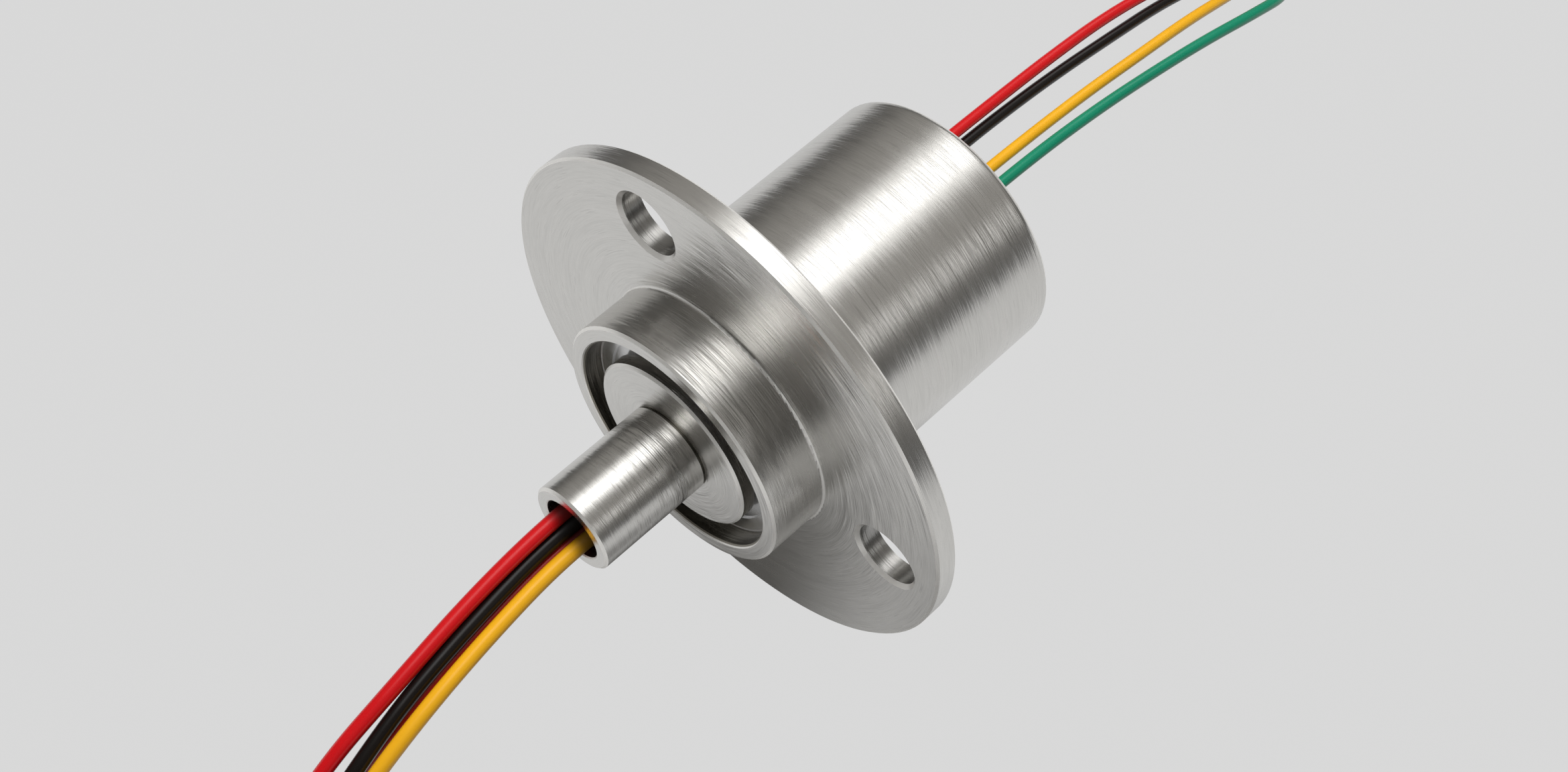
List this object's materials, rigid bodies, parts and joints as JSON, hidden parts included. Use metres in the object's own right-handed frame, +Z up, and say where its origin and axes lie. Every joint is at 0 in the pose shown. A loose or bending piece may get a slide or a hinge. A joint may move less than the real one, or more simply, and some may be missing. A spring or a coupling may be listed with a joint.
{
  "type": "slip ring",
  "caption": "Capsule slip ring: a turned steel housing with a round bolted flange, a hollow rotor shaft on ball bearings, and flying leads in colours at both ends.",
  "frame": {"origin": "centre of the flange's rear face, on the spin axis", "axes": "+Y along the spin axis from the shaft end towards the barrel end, +Z up, +X to the side"},
  "size_m": [0.0446, 0.1606, 0.0857],
  "materials": {
    "brushed_housing": "satin, turned and brushed",
    "brushed_shaft": "satin, turned",
    "bearing_steel": "ground and polished",
    "cage_brass": "stamped",
    "gold_contact": "hard gold plate",
    "black_plastic": "glass-filled, moulded",
    "green_board": "glass-epoxy laminate",
    "resin": "cured potting resin",
    "spring_steel": "phosphated",
    "tinned_copper": "tinned strands",
    "nylon_tie": "natural nylon",
    "lead_red": "extruded PVC",
    "lead_brown": "extruded PVC",
    "lead_black": "extruded PVC",
    "lead_yellow": "extruded PVC",
    "lead_green": "extruded PVC"
  },
  "bodies": {
    "stator": {"housing": "brushed_housing", "bearing_carrier": "black_plastic", "rear_cap": "black_plastic", "rear_potting": "resin", "stator_tails": "lead_red", "upper_brush_block": "green_board", "lower_brush_block": "green_board", "upper_brush_wires": "gold_contact", "lower_brush_wires": "gold_contact", "rear_lead_hank": "lead_red", "rear_hank_tie": "nylon_tie", "rear_lead_tips": "tinned_copper", "front_bearing_outer_ring": "bearing_steel", "front_bearing_front_shield": "bearing_steel", "front_bearing_rear_shield": "bearing_steel", "rear_bearing_outer_ring": "bearing_steel", "rear_bearing_front_shield": "bearing_steel", "rear_bearing_rear_shield": "bearing_steel", "rear_lead_red": "lead_red", "rear_lead_black": "lead_black", "rear_lead_yellow": "lead_yellow", "rear_lead_green": "lead_green"},
    "rotor": {"rotor_shaft": "brushed_shaft", "front_bearing_inner_ring": "bearing_steel", "rear_bearing_inner_ring": "bearing_steel", "insulating_sleeve": "black_plastic", "contact_ring_1": "gold_contact", "contact_ring_2": "gold_contact", "contact_ring_3": "gold_contact", "contact_ring_4": "gold_contact", "ring_barrier_1": "black_plastic", "ring_barrier_2": "black_plastic", "ring_barrier_3": "black_plastic", "ring_barrier_4": "black_plastic", "ring_barrier_5": "black_plastic", "stack_clamp": "black_plastic", "rotor_tails": "tinned_copper", "shaft_potting": "resin", "rear_circlip": "spring_steel", "front_lead_red": "lead_red", "front_lead_brown": "lead_brown", "front_lead_black": "lead_black", "front_lead_yellow": "lead_yellow", "front_lead_hank": "lead_red", "front_hank_tie": "nylon_tie", "front_lead_tips": "tinned_copper"},
    "front_ball_set": {"front_bearing_balls": "bearing_steel", "front_bearing_cage": "cage_brass"},
    "rear_ball_set": {"rear_bearing_balls": "bearing_steel", "rear_bearing_cage": "cage_brass"}
  },
  "joints": [
    {"name": "rotor_spin", "type": "hinge", "parent": "stator", "child": "rotor", "pos_m": [0, 0, 0], "axis": [0, 1, 0], "continuous": true},
    {"name": "front_ball_orbit", "type": "hinge", "parent": "stator", "child": "front_ball_set", "pos_m": [0, 0, 0], "axis": [0, 1, 0], "continuous": true},
    {"name": "rear_ball_orbit", "type": "hinge", "parent": "stator", "child": "rear_ball_set", "pos_m": [0, 0, 0], "axis": [0, 1, 0], "continuous": true}
  ],
  "couplings": [
    {"joint": "front_ball_orbit", "follows": "rotor_spin", "ratio": 0.4179},
    {"joint": "rear_ball_orbit", "follows": "rotor_spin", "ratio": 0.4007}
  ]
}
